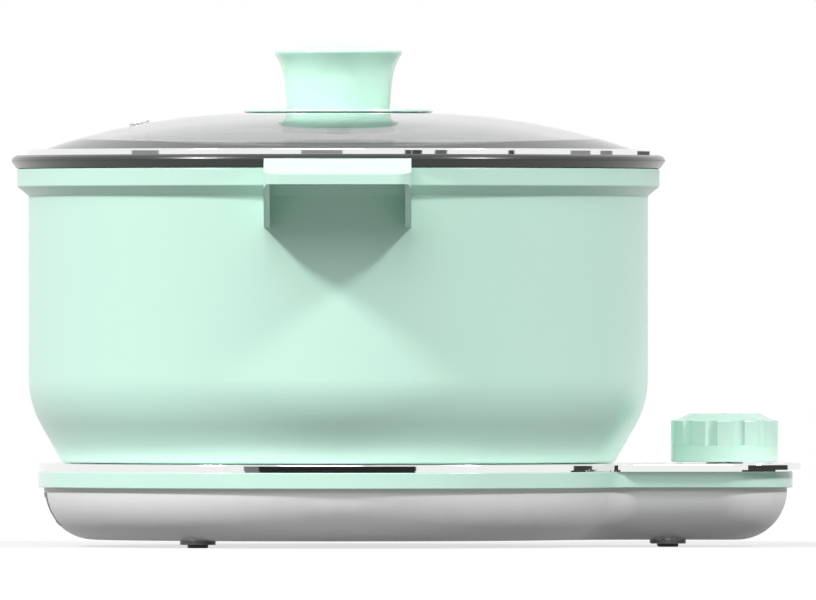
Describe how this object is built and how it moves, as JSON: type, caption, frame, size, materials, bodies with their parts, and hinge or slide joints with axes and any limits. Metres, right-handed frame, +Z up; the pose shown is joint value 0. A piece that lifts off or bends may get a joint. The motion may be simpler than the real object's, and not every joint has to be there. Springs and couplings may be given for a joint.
{
  "type": "electric hot pot",
  "caption": "Electric hot pot: a deep round pan in a jacket with hood handles and a domed glass lid, standing on a heating base whose tongue carries a fluted temperature dial.",
  "frame": {"origin": "middle of the whole object's footprint, on the surface that the feet stand on", "axes": "+Z up, +X from the pot towards the dial, handles on -Y and +Y"},
  "size_m": [0.362, 0.368, 0.2306],
  "materials": {
    "mint_plastic": "glossy",
    "mint_enamel": "gloss enamel",
    "pale_plastic": "satin",
    "polished_steel": "mirror polished",
    "dark_coating": "non-stick coating over cast aluminium",
    "cast_aluminium": "turned",
    "shield_sheet": "rolled",
    "heater_tube": "annealed",
    "plain_steel": "zinc plated",
    "brass": "machined",
    "dark_plastic": "moulded",
    "grey_plastic": "moulded",
    "foot_rubber": "matte",
    "clear_glass": "tempered, polished",
    "lens_plastic": "translucent",
    "ceramic": "fired ceramic"
  },
  "bodies": {
    "base": {"base_tray": "pale_plastic", "base_band": "mint_plastic", "base_screws": "plain_steel", "top_plate": "polished_steel", "heating_plate": "cast_aluminium", "heating_element": "heater_tube", "heat_shield": "shield_sheet", "heater_posts": "plain_steel", "probe_sleeve": "plain_steel", "probe_spring": "plain_steel", "thermostat_body": "dark_plastic", "knob_bush": "dark_plastic", "bush_nut": "brass", "indicator_lens": "lens_plastic", "indicator_lamp": "ceramic", "inlet_socket": "dark_plastic", "inlet_pins": "brass", "terminal_block": "ceramic", "thermal_fuse": "plain_steel", "foot_seat_1": "grey_plastic", "foot_seat_2": "grey_plastic", "foot_seat_3": "grey_plastic", "foot_seat_4": "grey_plastic", "foot_pad_1": "foot_rubber", "foot_pad_2": "foot_rubber", "foot_pad_3": "foot_rubber", "foot_pad_4": "foot_rubber"},
    "dial": {"control_knob": "mint_plastic", "thermostat_shaft": "plain_steel"},
    "probe": {"probe_cup": "cast_aluminium"},
    "pot": {"pot_shell": "mint_enamel", "inner_pan": "dark_coating", "pan_sole": "cast_aluminium", "handle_front": "mint_plastic", "handle_back": "mint_plastic", "handle_screws": "plain_steel"},
    "lid": {"lid_glass": "clear_glass", "lid_ring": "polished_steel", "steam_vent": "polished_steel", "lid_knob": "mint_plastic", "knob_cap": "mint_plastic", "knob_flange": "mint_plastic", "knob_seat": "mint_plastic", "knob_insert": "brass", "lid_screw": "plain_steel"}
  },
  "joints": [
    {"name": "pot_lift", "type": "slide", "parent": "base", "child": "pot", "axis": [0, 0, 1], "range_m": [0, 0.12]},
    {"name": "lid_lift", "type": "slide", "parent": "pot", "child": "lid", "axis": [0, 0, 1], "range_m": [0, 0.12]},
    {"name": "dial_turn", "type": "hinge", "parent": "base", "child": "dial", "pos_m": [0.146, 0, 0.05], "axis": [0, 0, 1], "range_deg": [-270, 0]},
    {"name": "probe_press", "type": "slide", "parent": "base", "child": "probe", "axis": [0, 0, 1], "range_m": [-0.002, 0], "stiffness_N_per_m": 400, "springref_m": 0.002, "deforming": ["probe_spring"]}
  ]
}
